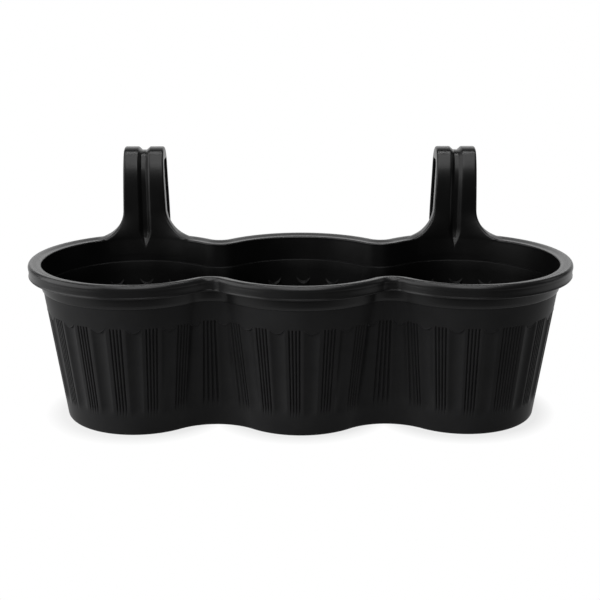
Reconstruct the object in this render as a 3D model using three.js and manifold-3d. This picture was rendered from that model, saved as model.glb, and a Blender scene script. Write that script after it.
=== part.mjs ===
// Balcony planter: three round pots in a row, moulded with one rim and two hooks that go over a rail.
// Millimetres, +Z up, X along the row, +Y towards the rail. The origin is the middle of the underside.

import * as THREE from 'three';
import Module from 'manifold-3d';

const wasm = await Module();
wasm.setup();

// Row of pots, measured on the outside of the rim
const potPitch = 151.6;
const middleRimRadius = 102.6;
const endRimRadius = 98.4;
const rimWaistRadius = 12;

// Foot of the pots, where the walls stand on the floor
const middleFootRadius = 71.5;
const endFootRadius = 69.2;
const footWaistRadius = 53;

// Heights: the rim's top above the ground, and how far the skirt and the neck reach below it
const rimHeight = 148.5;
const skirtHeight = 12.5;
const neckHeight = 24.5;
const floorThickness = 3.5;

// Wall and rim sections
const wallThickness = 2.5;
const stepIn = 12.5;
const neckProud = 1.2;
const neckThickness = 2;
const neckDraft = 0.09;
const rimWidth = 12;
const rimThickness = 2.5;
const rimCrestIn = 3;
const rimRollHeight = 4;
const rimInnerDrop = 2;
const rimInnerRound = 1.6;
const skirtInset = 0.5;
const skirtThickness = 2.4;
const clearance = 0.3;

// Flutes and ribs pressed into the walls. The flutes' middles are lengths along the wall at the
// pattern's top, from the front's middle; the front's are as measured, and the back's are set out.
const frontFlutes = [
  -254.5, -223.5, -191.5, -159.6, -128, -102, -76.5, -51, -21.6, 9.4,
  41.9, 69.8, 95.3, 120.8, 149.3, 179.5, 221.2, 251.4, 281.6
];
const patternBottom = 20;
const patternFade = 8;
const patternBelowStep = 18.5;
const fluteWidth = 13.9;
const waistFluteWidth = 11.5;
const fluteDepth = 2;
const fluteArcDrop = 4.6;
const backFluteSpacing = 30.2;
const waistStart = 60;
const waistEnd = 118;
const leftBackShift = -2;
const middleBackShift = 3.4;
const rightBackShift = 4.5;
const grooveSpacing = 3.1;
const grooveMargin = 3.9;
const fewestGrooves = 4;
const ribDepth = 0.9;
const patternEdge = 0.6;

// Floor
const footRound = 2.5;
const recessRadius = 54;
const recessDepth = 1.2;
const gatePadRadius = 10;
const drainHoleRadius = 3.5;
const drainCircleRadius = 34;
const drainHolesPerPot = 4;

// Hooks: each stands a little outwards of its pot's middle, and its foot flares wider on the inner hand
const hookTop = 234.6;
const hookShift = 2.4;
const hookOuterBend = 20;
const hookTopHalfWidth = 19.5;
const hookFootHalfWidth = 21.5;
const hookFlareRadius = 24.5;
const hookInnerFlareRadius = 27;
const hookPlate = 3;
const hookSideDepth = 12;
const hookFootSideDepth = 10.5;
const hookSideThickness = 2.6;
const hookRearSideDepth = 4.5;
const hookRearLength = 78;
const hookFootLap = 4;
const railSeatDrop = 13;
const hookEdgeRound = 2;
const channelWidth = 11;
const channelFloorWidth = 5;
const channelDepth = 3.2;
const channelFadeLap = 3.3;
const channelFadeLength = 14;

const blackPlastic = { color: 0x1b1b1c, roughness: 0.5, metalness: 0 };

// Levels that follow from the sizes above
const stepHeight = rimHeight - neckHeight;
const skirtBottom = rimHeight - skirtHeight;
const patternTop = stepHeight - patternBelowStep;
const hookStraightFrom = rimHeight + hookInnerFlareRadius;
const railSeatZ = hookTop - railSeatDrop;

const lerp = (a, b, k) => a + (b - a) * k;

function smooth(a, b, value) {
  const k = Math.min(1, Math.max(0, (value - a) / (b - a)));
  return k * k * (3 - 2 * k);
}

// The outline's radii: the middle pot, an end pot and the hollow waist curve between them
function rimShape(offset) {
  return {
    middle: middleRimRadius + offset,
    end: endRimRadius + offset,
    waist: rimWaistRadius - offset
  };
}

const footShape = { middle: middleFootRadius, end: endFootRadius, waist: footWaistRadius };
const wallTopShape = rimShape(-stepIn);

function wallShape(z) {
  const k = z / stepHeight;
  return {
    middle: lerp(footShape.middle, wallTopShape.middle, k),
    end: lerp(footShape.end, wallTopShape.end, k),
    waist: lerp(footShape.waist, wallTopShape.waist, k)
  };
}

function inset(shape, depth) {
  return { middle: shape.middle - depth, end: shape.end - depth, waist: shape.waist + depth };
}

// Centre of the waist curve and the angles at which it meets the two pots
function waistOf(shape) {
  const toMiddle = shape.middle + shape.waist;
  const toEnd = shape.end + shape.waist;
  const x = (potPitch ** 2 + toMiddle ** 2 - toEnd ** 2) / (2 * potPitch);
  const y = Math.sqrt(toMiddle ** 2 - x ** 2);
  return { x, y, middleAngle: Math.atan2(y, x), endAngle: Math.atan2(y, x - potPitch) };
}

function quarterLengths(shape) {
  const { middleAngle, endAngle } = waistOf(shape);
  return [
    shape.middle * (Math.PI / 2 - middleAngle),
    shape.waist * (endAngle - middleAngle),
    shape.end * endAngle
  ];
}

// Point and outward direction on a quarter of the outline. t runs 0 to 1 over the middle pot,
// 1 to 2 over the waist and 2 to 3 over the end pot, where 3 is the tip on the X axis.
function quarterPoint(shape, t) {
  const waist = waistOf(shape);
  if (t <= 1) {
    const angle = lerp(Math.PI / 2, waist.middleAngle, t);
    const out = [Math.cos(angle), Math.sin(angle)];
    return { x: shape.middle * out[0], y: shape.middle * out[1], out };
  }
  if (t <= 2) {
    const angle = lerp(waist.middleAngle, waist.endAngle, t - 1) + Math.PI;
    const arm = [Math.cos(angle), Math.sin(angle)];
    return {
      x: waist.x + shape.waist * arm[0],
      y: waist.y + shape.waist * arm[1],
      out: [-arm[0], -arm[1]]
    };
  }
  const angle = lerp(waist.endAngle, 0, t - 2);
  const out = [Math.cos(angle), Math.sin(angle)];
  return { x: potPitch + shape.end * out[0], y: shape.end * out[1], out };
}

// A place is a length round the whole outline at the pattern's top, from 0 at the front's middle
// by the right tip and the back, or below 0 by the left tip. It comes round again after fullWall.
const patternShape = wallShape(patternTop);
const patternLengths = quarterLengths(patternShape);
const halfWall = patternLengths[0] + patternLengths[1] + patternLengths[2];
const fullWall = 4 * halfWall;
const endPotMiddle = halfWall - (patternLengths[2] * Math.PI) / (2 * waistOf(patternShape).endAngle);

function quarterPlace(length) {
  const [middle, waist, end] = patternLengths;
  if (length < middle) return length / middle;
  if (length < middle + waist) return 1 + (length - middle) / waist;
  return 2 + Math.min(1, (length - middle - waist) / end);
}

// Share of the waist curve at which a line from a pot's middle meets it
function waistShare(shape, centre, angle) {
  const waist = waistOf(shape);
  const x = waist.x - centre;
  const along = x * Math.cos(angle) + waist.y * Math.sin(angle);
  const across = x * Math.sin(angle) - waist.y * Math.cos(angle);
  const reach = along - Math.sqrt(shape.waist ** 2 - across ** 2);
  const met = Math.atan2(waist.y - reach * Math.sin(angle), x - reach * Math.cos(angle));
  return (met - waist.middleAngle) / (waist.endAngle - waist.middleAngle);
}

function seenFromMiddle(shape, angle) {
  const { middleAngle } = waistOf(shape);
  if (angle < middleAngle) return 1 + waistShare(shape, 0, angle);
  return (Math.PI / 2 - angle) / (Math.PI / 2 - middleAngle);
}

function seenFromEnd(shape, angle) {
  const { endAngle } = waistOf(shape);
  if (angle > endAngle) return 1 + waistShare(shape, potPitch, angle);
  return 2 + (endAngle - angle) / endAngle;
}

// The pattern's columns run down towards the axis of their own pot. This is where the column at t
// on the pattern's top meets another level's outline; round the waists it is spread evenly.
function columnAt(shape, t) {
  const top = waistOf(patternShape);
  if (t <= 1) return seenFromMiddle(shape, lerp(Math.PI / 2, top.middleAngle, t));
  if (t >= 2) return seenFromEnd(shape, lerp(top.endAngle, 0, t - 2));
  const from = seenFromMiddle(shape, top.middleAngle);
  return lerp(from, seenFromEnd(shape, top.endAngle), t - 1);
}

function outlinePoint(shape, place) {
  const half = 2 * halfWall;
  const fromFront = place - fullWall * Math.round(place / fullWall);
  const atBack = Math.abs(fromFront) > halfWall;
  const t = quarterPlace(atBack ? half - Math.abs(fromFront) : Math.abs(fromFront));
  const p = quarterPoint(shape, columnAt(shape, t));
  const hand = fromFront < 0 ? -1 : 1;
  const side = atBack ? 1 : -1;
  return { x: hand * p.x, y: side * p.y, out: [hand * p.out[0], side * p.out[1]] };
}

const inWaist = s => s > waistStart && s < waistEnd;

// The back has three flutes behind each pot, and the others are spread evenly from group to group
function flutesAtBack(from, to) {
  const found = [from];
  const middles = [
    2 * halfWall - endPotMiddle - rightBackShift,
    2 * halfWall - middleBackShift,
    2 * halfWall + endPotMiddle - leftBackShift
  ];
  const fixed = [...middles.flatMap(m => [m - backFluteSpacing, m, m + backFluteSpacing]), to];
  for (const next of fixed) {
    const last = found[found.length - 1];
    const steps = Math.max(1, Math.round((next - last) / backFluteSpacing));
    for (let i = 1; i <= steps; i++) found.push(lerp(last, next, i / steps));
  }
  return found.slice(1, -1);
}

function allFlutes() {
  const front = frontFlutes.filter(place => Math.abs(place) < halfWall - fluteWidth);
  const middles = [...front, ...flutesAtBack(front[front.length - 1], front[0] + fullWall)];
  return middles.map(middle => {
    const fromMiddle = Math.abs(middle > halfWall ? middle - 2 * halfWall : middle);
    return { middle, width: inWaist(fromMiddle) ? waistFluteWidth : fluteWidth };
  });
}

// Columns of the wall: where each one stands, what is cut there, and whether the inside has it too
function plainColumn(s, inside) {
  return { s, flute: 0, rib: 0, arc: 0, inside };
}

function fluteColumns(flute) {
  return [-0.5, -0.25, 0, 0.25, 0.5].map(k => ({
    s: flute.middle + k * flute.width,
    flute: 1 - 4 * k * k,
    rib: 0,
    arc: fluteArcDrop * (1 - 4 * k * k),
    inside: true
  }));
}

// A group of narrow grooves with ribs between them
function ribColumns(from, to) {
  const fitting = 1 + Math.round((to - from - 2 * grooveMargin) / grooveSpacing);
  const grooves = Math.max(fewestGrooves, fitting);
  const first = (from + to) / 2 - ((grooves - 1) * grooveSpacing) / 2;
  const columns = [plainColumn(first - grooveSpacing / 2, false)];
  for (let i = 0; i < grooves; i++) {
    const s = first + i * grooveSpacing;
    columns.push({ s, flute: 0, rib: 1, arc: 0, inside: 2 * i === grooves - 1 });
    columns.push(plainColumn(s + grooveSpacing / 2, 2 * i === grooves - 2));
  }
  return columns;
}

// Every column once round the outline, in order of place: a flute, then the group that follows it
function allColumns() {
  const flutes = allFlutes();
  return flutes.flatMap((flute, i) => {
    const next = flutes[(i + 1) % flutes.length];
    const nextMiddle = next.middle + (i + 1 === flutes.length ? fullWall : 0);
    const edge = flute.middle + flute.width / 2;
    return [...fluteColumns(flute), ...ribColumns(edge, nextMiddle - next.width / 2)];
  });
}

const columns = allColumns();

// The rows of a wall column, from the floor to the step
function outerRows(column) {
  const top = patternTop - column.arc;
  return [
    [floorThickness, 0],
    [patternBottom, 0],
    [patternBottom + patternFade, 1],
    [top - patternEdge, 1],
    [top, 0],
    [stepHeight, 0]
  ];
}

function wallPoint(column, z, depth) {
  const p = outlinePoint(wallShape(z), column.s);
  return new THREE.Vector3(p.x - depth * p.out[0], p.y - depth * p.out[1], z);
}

function outerColumn(column) {
  const depth = column.flute * fluteDepth + column.rib * ribDepth;
  return outerRows(column).map(([z, share]) => wallPoint(column, z, depth * share));
}

function innerColumn(column) {
  const depth = column.flute * fluteDepth;
  return outerRows(column).map(([z, share]) => wallPoint(column, z, wallThickness + depth * share));
}

// Collects corner points and triangles into one geometry
function meshBuilder() {
  const points = [];
  return {
    triangle(a, b, c) {
      points.push(a, b, c);
    },
    quad(a, b, c, d) {
      points.push(a, b, c, a, c, d);
    },
    geometry() {
      const geometry = new THREE.BufferGeometry().setFromPoints(points);
      geometry.computeVertexNormals();
      return geometry;
    }
  };
}

// The wall through these columns, in order of place. The inside has fewer columns than the outside,
// so the top and bottom edges are filled with fans.
function wallGeometry(stretch) {
  const build = meshBuilder();
  const outer = stretch.map(outerColumn);
  const inner = stretch.map(column => (column.inside ? innerColumn(column) : null));
  const rows = outer[0].length;
  for (let i = 0; i + 1 < stretch.length; i++) {
    for (let r = 0; r + 1 < rows; r++) {
      build.quad(outer[i][r], outer[i + 1][r], outer[i + 1][r + 1], outer[i][r + 1]);
    }
  }
  let last = 0;
  for (let i = 1; i < stretch.length; i++) {
    if (!inner[i]) continue;
    for (let r = 0; r + 1 < rows; r++) {
      build.quad(inner[i][r], inner[last][r], inner[last][r + 1], inner[i][r + 1]);
    }
    for (const [r, up] of [[0, false], [rows - 1, true]]) {
      const edge = (a, b, c) => (up ? build.triangle(a, b, c) : build.triangle(a, c, b));
      for (let j = last; j < i; j++) edge(inner[last][r], outer[j][r], outer[j + 1][r]);
      edge(inner[last][r], outer[i][r], inner[i][r]);
    }
    last = i;
  }
  const end = stretch.length - 1;
  for (let r = 0; r + 1 < rows; r++) {
    build.quad(inner[0][r], outer[0][r], outer[0][r + 1], inner[0][r + 1]);
    build.quad(outer[end][r], inner[end][r], inner[end][r + 1], outer[end][r + 1]);
  }
  return build.geometry();
}

// The walls part at the middle of each waist, with the usual clearance between them
const waistMiddle = patternLengths[0] + patternLengths[1] / 2;

function wallBetween(from, to) {
  const start = from + clearance / 2;
  const stop = to - clearance / 2;
  const least = grooveSpacing / 4;
  const turns = [-fullWall, 0].flatMap(turn => columns.map(c => ({ ...c, s: c.s + turn })));
  const kept = turns.filter(c => c.s > start + least && c.s < stop - least);
  return wallGeometry([plainColumn(start, true), ...kept, plainColumn(stop, true)]);
}

// Places round the whole outline, in order from the front's middle by the right tip and the back.
// Steps are the numbers of flats on the middle pot, the waist and the end pot of each quarter.
function outlineLoop(steps) {
  const quarter = [];
  for (let segment = 0; segment < 3; segment++) {
    for (let i = 0; i < steps[segment]; i++) quarter.push(segment + i / steps[segment]);
  }
  quarter.push(3);
  return [
    ...quarter.map(t => ({ t, hand: 1, side: -1 })),
    ...quarter.slice(0, -1).reverse().map(t => ({ t, hand: 1, side: 1 })),
    ...quarter.slice(1).map(t => ({ t, hand: -1, side: 1 })),
    ...quarter.slice(1, -1).reverse().map(t => ({ t, hand: -1, side: -1 }))
  ];
}

function loopPoint(shape, place, z) {
  const p = quarterPoint(shape, place.t);
  return new THREE.Vector3(place.hand * p.x, place.side * p.y, z);
}

// A closed section carried round the whole outline. The section lists [offset, z] pairs.
function sweepRound(section, steps) {
  const build = meshBuilder();
  const loop = outlineLoop(steps).map(place =>
    section.map(([offset, z]) => loopPoint(rimShape(offset), place, z))
  );
  for (let i = 0; i < loop.length; i++) {
    const a = loop[i];
    const b = loop[(i + 1) % loop.length];
    for (let j = 0; j < section.length; j++) {
      const k = (j + 1) % section.length;
      build.quad(a[j], b[j], b[k], a[k]);
    }
  }
  return build.geometry();
}

// The rim's section: skirt, rounded crest near the outside, top falling inwards, and the neck
const rimSteps = [6, 7, 19];
const neckOuterFoot = neckProud - stepIn;

function neckOffset(z) {
  return neckOuterFoot + (z - stepHeight) * neckDraft;
}

// The roll from its widest place up to the crest, as a quarter of an ellipse
function crestArc(grow) {
  const arc = [];
  for (const degrees of [0, 30, 60, 90]) {
    const angle = THREE.MathUtils.degToRad(degrees);
    arc.push([
      grow - rimCrestIn + rimCrestIn * Math.cos(angle),
      grow + rimHeight - rimRollHeight + rimRollHeight * Math.sin(angle)
    ]);
  }
  return arc;
}

function innerEdge(grow) {
  const topZ = rimHeight - rimInnerDrop + grow;
  const side = -rimWidth - grow;
  return [
    [side + rimInnerRound, topZ],
    [side + 0.3 * rimInnerRound, topZ - 0.3 * rimInnerRound],
    [side, topZ - rimInnerRound]
  ];
}

function rimSection() {
  const under = rimHeight - rimInnerDrop - rimThickness;
  const skirtInside = -skirtInset - skirtThickness;
  return [
    [skirtInside, skirtBottom],
    [-skirtInset, skirtBottom],
    [-skirtInset, rimHeight - rimRollHeight - skirtInset],
    ...crestArc(0),
    ...innerEdge(0),
    [neckOuterFoot - neckThickness, stepHeight],
    [neckOuterFoot, stepHeight],
    [neckOffset(under), under],
    [skirtInside, under]
  ];
}

// What the hooks are cut with, so that they sit over the rim with the usual clearance
function rimEnvelope() {
  return [
    [clearance, stepHeight],
    ...crestArc(clearance),
    ...innerEdge(clearance),
    [neckOuterFoot - neckThickness - clearance, stepHeight]
  ];
}

// manifold-3d solids from three.js geometry and back
function toSolid(geometry) {
  const bare = geometry.index ? geometry.toNonIndexed() : geometry;
  const points = bare.getAttribute('position').array;
  const mesh = new wasm.Mesh({
    numProp: 3,
    vertProperties: new Float32Array(points),
    triVerts: Uint32Array.from({ length: points.length / 3 }, (_, i) => i)
  });
  mesh.merge();
  return new wasm.Manifold(mesh);
}

function toGeometry(solid) {
  const { numProp, vertProperties, triVerts } = solid.getMesh();
  const positions = new Float32Array((vertProperties.length / numProp) * 3);
  for (let i = 0; i * numProp < vertProperties.length; i++) {
    for (let k = 0; k < 3; k++) positions[3 * i + k] = vertProperties[i * numProp + k];
  }
  const geometry = new THREE.BufferGeometry();
  geometry.setAttribute('position', new THREE.BufferAttribute(positions, 3));
  geometry.setIndex(Array.from(triVerts));
  return geometry;
}

// The skin over a row of rings, and a flat end on a ring whose outline is drawn in flat
function skinRings(build, rings) {
  for (let i = 0; i + 1 < rings.length; i++) {
    for (let j = 0; j < rings[i].length; j++) {
      const k = (j + 1) % rings[i].length;
      build.quad(rings[i][j], rings[i][k], rings[i + 1][k], rings[i + 1][j]);
    }
  }
}

function capRing(build, ring, flat, flip) {
  for (const [a, b, c] of THREE.ShapeUtils.triangulateShape(flat, [])) {
    if (flip) build.triangle(ring[a], ring[c], ring[b]);
    else build.triangle(ring[a], ring[b], ring[c]);
  }
}

// A solid whose level outlines are stacked, with flat ends. Levels list [shape, z] pairs.
function stackOutlines(levels, steps) {
  const build = meshBuilder();
  const loop = outlineLoop(steps);
  const rings = levels.map(([shape, z]) => loop.map(place => loopPoint(shape, place, z)));
  skinRings(build, rings);
  const flat = rings[0].map(p => new THREE.Vector2(p.x, p.y));
  capRing(build, rings[0], flat, true);
  capRing(build, rings[rings.length - 1], flat, false);
  return build.geometry();
}

function disc(radius, low, high, x, y, sides) {
  const geometry = new THREE.CylinderGeometry(radius, radius, high - low, sides);
  geometry.rotateX(Math.PI / 2);
  geometry.translate(x, y, (low + high) / 2);
  return geometry.toNonIndexed();
}

const floorSteps = [5, 6, 14];

function floorGeometry() {
  const levels = [
    [inset(footShape, footRound), 0],
    [inset(footShape, 0.3 * footRound), 0.3 * footRound],
    [wallShape(footRound), footRound],
    [wallShape(floorThickness), floorThickness]
  ];
  let solid = toSolid(stackOutlines(levels, floorSteps));
  for (const x of [-potPitch, 0, potPitch]) {
    const pad = toSolid(disc(gatePadRadius, -2, recessDepth + 1, x, 0, 20));
    const recess = toSolid(disc(recessRadius, -1, recessDepth, x, 0, 40));
    solid = solid.subtract(recess.subtract(pad));
    for (let i = 0; i < drainHolesPerPot; i++) {
      const angle = ((i + 0.5) / drainHolesPerPot) * 2 * Math.PI;
      const holeX = x + drainCircleRadius * Math.cos(angle);
      const holeY = drainCircleRadius * Math.sin(angle);
      solid = solid.subtract(toSolid(disc(drainHoleRadius, -1, floorThickness + 1, holeX, holeY, 12)));
    }
  }
  return toGeometry(solid);
}

// The hook's route in side view, on its outer face: up from the rim, over the rail and down
const hookFrontY = endRimRadius - rimWidth;
const hookBendZ = hookTop - hookOuterBend;
const hookFootZ = rimHeight - hookFootLap;

function hookStations() {
  const stations = [];
  const climb = [hookFootZ];
  for (const k of [0, 0.02, 0.07, 0.15, 0.28, 0.45, 0.7, 1]) {
    climb.push(lerp(rimHeight, hookStraightFrom, k));
  }
  climb.push(lerp(hookStraightFrom, hookBendZ, 0.5));
  for (const z of climb) stations.push({ y: hookFrontY, z, turn: 0 });
  const bends = 8;
  for (let i = 0; i <= bends; i++) {
    const turn = (i / bends) * Math.PI;
    stations.push({
      y: hookFrontY + hookOuterBend * (1 - Math.cos(turn)),
      z: hookBendZ + hookOuterBend * Math.sin(turn),
      turn
    });
  }
  const rearY = hookFrontY + 2 * hookOuterBend;
  const rearEndZ = hookTop - hookRearLength;
  for (const k of [0.3, 0.65, 1]) {
    stations.push({ y: rearY, z: lerp(hookBendZ, rearEndZ, k), turn: Math.PI });
  }
  return stations;
}

function hookHalfWidth(station, flareRadius) {
  const taper = lerp(hookFootHalfWidth, hookTopHalfWidth, smooth(rimHeight, hookTop, station.z));
  if (station.turn > 0) return taper;
  const above = Math.min(1, Math.max(0, (station.z - rimHeight) / flareRadius));
  const flare = flareRadius * (1 - Math.sqrt(1 - (1 - above) ** 2));
  return taper + flare;
}

// How deep the channel's sides are. Over the rail their edges are level, so that the hook has a flat seat.
function hookSide(station) {
  if (station.turn === 0) {
    return lerp(hookFootSideDepth, hookSideDepth, smooth(rimHeight, hookStraightFrom, station.z));
  }
  const least = station.turn < Math.PI / 2 ? hookSideDepth : hookRearSideDepth;
  return Math.max(least, hookOuterBend - (railSeatZ - hookBendZ) / Math.sin(station.turn));
}

// Half of the hook's section at a station, as points across and into its depth: from the middle
// channel along the face and the side, and back along the inside
function hookHalfSection(station, flareRadius) {
  const half = hookHalfWidth(station, flareRadius);
  const side = hookSide(station);
  const fadeFrom = rimHeight - channelFadeLap;
  const fade = station.turn > 0 ? 1 : smooth(fadeFrom, fadeFrom + channelFadeLength, station.z);
  const channel = channelDepth * fade;
  const plate = Math.min(hookPlate, side - hookEdgeRound / 2);
  const wide = channelWidth / 2;
  const narrow = channelFloorWidth / 2;
  return [
    [narrow, channel],
    [wide, 0],
    [half - hookEdgeRound, 0],
    [half - 0.3 * hookEdgeRound, 0.3 * hookEdgeRound],
    [half, hookEdgeRound],
    [half, side],
    [half - hookSideThickness, side],
    [half - hookSideThickness, plate],
    [wide + hookPlate / 2, plate],
    [narrow + hookPlate / 2, plate + channel]
  ].map(([across, depth]) => new THREE.Vector2(across, depth));
}

// The right hook's whole section: the outer hand, then the inner one mirrored
function hookSection(station) {
  const outer = hookHalfSection(station, hookFlareRadius);
  const inner = hookHalfSection(station, hookInnerFlareRadius);
  return [...outer, ...inner.map(p => new THREE.Vector2(-p.x, p.y)).reverse()];
}

// The section set on its station. Near the rim the face bows with the pot's inside.
function hookRing(station) {
  const bow = station.turn > 0 ? 0 : 1 - smooth(rimHeight, hookStraightFrom, station.z);
  const arc = endRimRadius - rimWidth;
  return hookSection(station).map(p => {
    const behind = bow * (arc - Math.sqrt(arc ** 2 - (p.x + hookShift) ** 2));
    return new THREE.Vector3(
      p.x,
      station.y + p.y * Math.cos(station.turn) - behind,
      station.z - p.y * Math.sin(station.turn)
    );
  });
}

function rightHookSolid() {
  const build = meshBuilder();
  const stations = hookStations();
  const rings = stations.map(hookRing);
  skinRings(build, rings);
  capRing(build, rings[0], hookSection(stations[0]), true);
  capRing(build, rings[rings.length - 1], hookSection(stations[stations.length - 1]), false);
  const geometry = build.geometry();
  geometry.translate(potPitch + hookShift, 0, 0);
  const rim = toSolid(sweepRound(rimEnvelope(), rimSteps));
  return toSolid(geometry).subtract(rim);
}

function piece(name, geometry) {
  const mesh = new THREE.Mesh(geometry, new THREE.MeshStandardMaterial(blackPlastic));
  mesh.name = name;
  return mesh;
}

const rightHook = rightHookSolid();
const planter = new THREE.Group();
planter.name = 'balcony_planter';
planter.add(
  piece('floor', floorGeometry()),
  piece('left_wall', wallBetween(waistMiddle - 2 * halfWall, -waistMiddle)),
  piece('right_wall', wallBetween(waistMiddle, 2 * halfWall - waistMiddle)),
  piece('front_wall', wallBetween(-waistMiddle, waistMiddle)),
  piece('back_wall', wallBetween(2 * halfWall - waistMiddle, 2 * halfWall + waistMiddle)),
  piece('rim', sweepRound(rimSection(), rimSteps)),
  piece('left_hook', toGeometry(rightHook.mirror([1, 0, 0]))),
  piece('right_hook', toGeometry(rightHook))
);

export default planter;
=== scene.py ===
"""Looks of the balcony planter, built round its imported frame.

Sizes of the object are millimetres, in the frame's own axes, and turn into metres where a mesh is made.
Lamps and the camera are placed in metres.
"""

import math

import bpy
import numpy as np
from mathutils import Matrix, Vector
from mathutils.geometry import delaunay_2d_cdt


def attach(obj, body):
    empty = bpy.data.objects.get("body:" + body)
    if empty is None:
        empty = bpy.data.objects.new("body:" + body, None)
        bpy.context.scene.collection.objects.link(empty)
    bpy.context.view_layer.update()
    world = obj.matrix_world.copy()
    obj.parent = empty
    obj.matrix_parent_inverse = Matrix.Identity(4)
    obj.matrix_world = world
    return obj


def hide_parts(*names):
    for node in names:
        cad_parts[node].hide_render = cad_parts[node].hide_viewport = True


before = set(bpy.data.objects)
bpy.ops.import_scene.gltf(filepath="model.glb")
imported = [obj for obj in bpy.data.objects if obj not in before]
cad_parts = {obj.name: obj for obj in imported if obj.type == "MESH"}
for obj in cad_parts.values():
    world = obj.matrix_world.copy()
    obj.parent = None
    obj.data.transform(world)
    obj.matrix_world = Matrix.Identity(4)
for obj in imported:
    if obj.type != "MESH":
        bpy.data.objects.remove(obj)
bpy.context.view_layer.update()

MM = 0.001

# Row of pots, as in the frame
POT_PITCH = 151.6
# Radii of the middle pot, an end pot and the waist curve
RIM_RADII = (102.6, 98.4, 12.0)
FOOT_RADII = (71.5, 69.2, 53.0)
RIM_TOP = 148.5
STEP_Z = 124.0
SKIRT_BOTTOM = 136.0
STEP_IN = 12.5
WALL = 2.5
FLOOR_TOP = 3.5

# Pattern pressed into the walls
PATTERN_TOP = 105.5
FADE_BOTTOM = 18.0
FADE_TOP = 29.0
FLUTE_WIDTH = 13.9
WAIST_FLUTE_WIDTH = 11.5
FLUTE_DEPTH = 2.0
SCALLOP_DROP = 4.6
# Middles of the flutes on the front, as places round the outline from the front's middle
FRONT_FLUTES = [
    -254.5, -223.5, -191.5, -159.6, -128.0, -102.0, -76.5, -51.0, -21.6, 9.4,
    41.9, 69.8, 95.3, 120.8, 149.3, 179.5, 221.2, 251.4, 281.6,
]
BACK_SPACING = 30.2
# Flutes between these distances from a side's middle lie on a waist
WAIST_REACH = (60.0, 118.0)
# How far the middle flute behind the right, the middle and the left pot stands off that pot's middle
BACK_SHIFTS = (4.5, 3.4, -2.0)
GROOVE_SPACING = 3.1
GROOVE_MARGIN = 3.9
GROOVE_WIDTH = 2.1
GROOVE_DEPTH = 1.25
LIP = 0.25
FEWEST_GROOVES = 4
LIP_STEEPNESS = 2.5


def smooth(low, high, value):
    k = np.clip((np.asarray(value, float) - low) / (high - low), 0, 1)
    return k * k * (3 - 2 * k)


def lerp(a, b, k):
    return a + (b - a) * k


# The outline: three round pots joined by hollow waist curves


def radii_at(z):
    """Radii of the middle pot, an end pot and the waist curve on the wall's outside at these heights."""
    k = np.asarray(z, float) / STEP_Z
    top = (RIM_RADII[0] - STEP_IN, RIM_RADII[1] - STEP_IN, RIM_RADII[2] + STEP_IN)
    return [lerp(FOOT_RADII[i], top[i], k) for i in range(3)]


def rim_radii(offset):
    offset = np.asarray(offset, float)
    return [RIM_RADII[0] + offset, RIM_RADII[1] + offset, RIM_RADII[2] - offset]


def waist_of(radii):
    """Middle of the waist curve, and the angles at which it meets the middle pot and the end pot."""
    middle, end, waist = radii
    to_middle, to_end = middle + waist, end + waist
    x = (POT_PITCH**2 + to_middle**2 - to_end**2) / (2 * POT_PITCH)
    y = np.sqrt(to_middle**2 - x**2)
    return x, y, np.arctan2(y, x), np.arctan2(y, x - POT_PITCH)


def by_part(t, on_middle, on_waist, on_end):
    """The value that belongs to the part of the quarter outline that t is on."""
    return np.where(t <= 1, on_middle, np.where(t <= 2, on_waist, on_end))


def quarter_point(radii, t):
    """Point and outward direction on a quarter outline.

    t is 0-1 on the middle pot, 1-2 on the waist curve and 2-3 on the end pot.
    """
    middle, end, waist = radii
    x, y, a_middle, a_end = waist_of(radii)
    a1 = lerp(math.pi / 2, a_middle, np.minimum(t, 1))
    a2 = lerp(a_middle, a_end, np.clip(t - 1, 0, 1)) + math.pi
    a3 = lerp(a_end, 0, np.clip(t - 2, 0, 1))
    px = by_part(t, middle * np.cos(a1), x + waist * np.cos(a2), POT_PITCH + end * np.cos(a3))
    py = by_part(t, middle * np.sin(a1), y + waist * np.sin(a2), end * np.sin(a3))
    nx = by_part(t, np.cos(a1), -np.cos(a2), np.cos(a3))
    ny = by_part(t, np.sin(a1), -np.sin(a2), np.sin(a3))
    return px, py, nx, ny


def waist_share(radii, centre, angle):
    """Share of the waist curve at which a line from a pot's middle meets it."""
    x, y, a_middle, a_end = waist_of(radii)
    along = (x - centre) * np.cos(angle) + y * np.sin(angle)
    across = (x - centre) * np.sin(angle) - y * np.cos(angle)
    reach = along - np.sqrt(np.maximum(0, radii[2] ** 2 - across**2))
    met = np.arctan2(y - reach * np.sin(angle), x - centre - reach * np.cos(angle))
    return (met - a_middle) / (a_end - a_middle)


def seen_from_middle(radii, angle):
    """t of the outline's point that a line from the middle pot's axis meets at this angle."""
    a_middle = waist_of(radii)[2]
    on_pot = (math.pi / 2 - angle) / (math.pi / 2 - a_middle)
    return np.where(angle < a_middle, 1 + waist_share(radii, 0, angle), on_pot)


def seen_from_end(radii, angle):
    """t of the outline's point that a line from the end pot's axis meets at this angle."""
    a_end = waist_of(radii)[3]
    on_pot = 2 + (a_end - angle) / a_end
    return np.where(angle > a_end, 1 + waist_share(radii, POT_PITCH, angle), on_pot)


def column_at(radii, t):
    """Where the column at t on the pattern's top stands on another outline.

    Columns on a pot run towards its axis, and those on the waist curve lie spread between them.
    """
    _, _, top_middle, top_end = waist_of(radii_at(PATTERN_TOP))
    from_middle = seen_from_middle(radii, lerp(math.pi / 2, top_middle, np.minimum(t, 1)))
    from_end = seen_from_end(radii, lerp(top_end, 0, np.clip(t - 2, 0, 1)))
    share = np.clip(t - 1, 0, 1)
    between = lerp(seen_from_middle(radii, top_middle), seen_from_end(radii, top_end), share)
    return np.where(t <= 1, from_middle, np.where(t >= 2, from_end, between))


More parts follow.
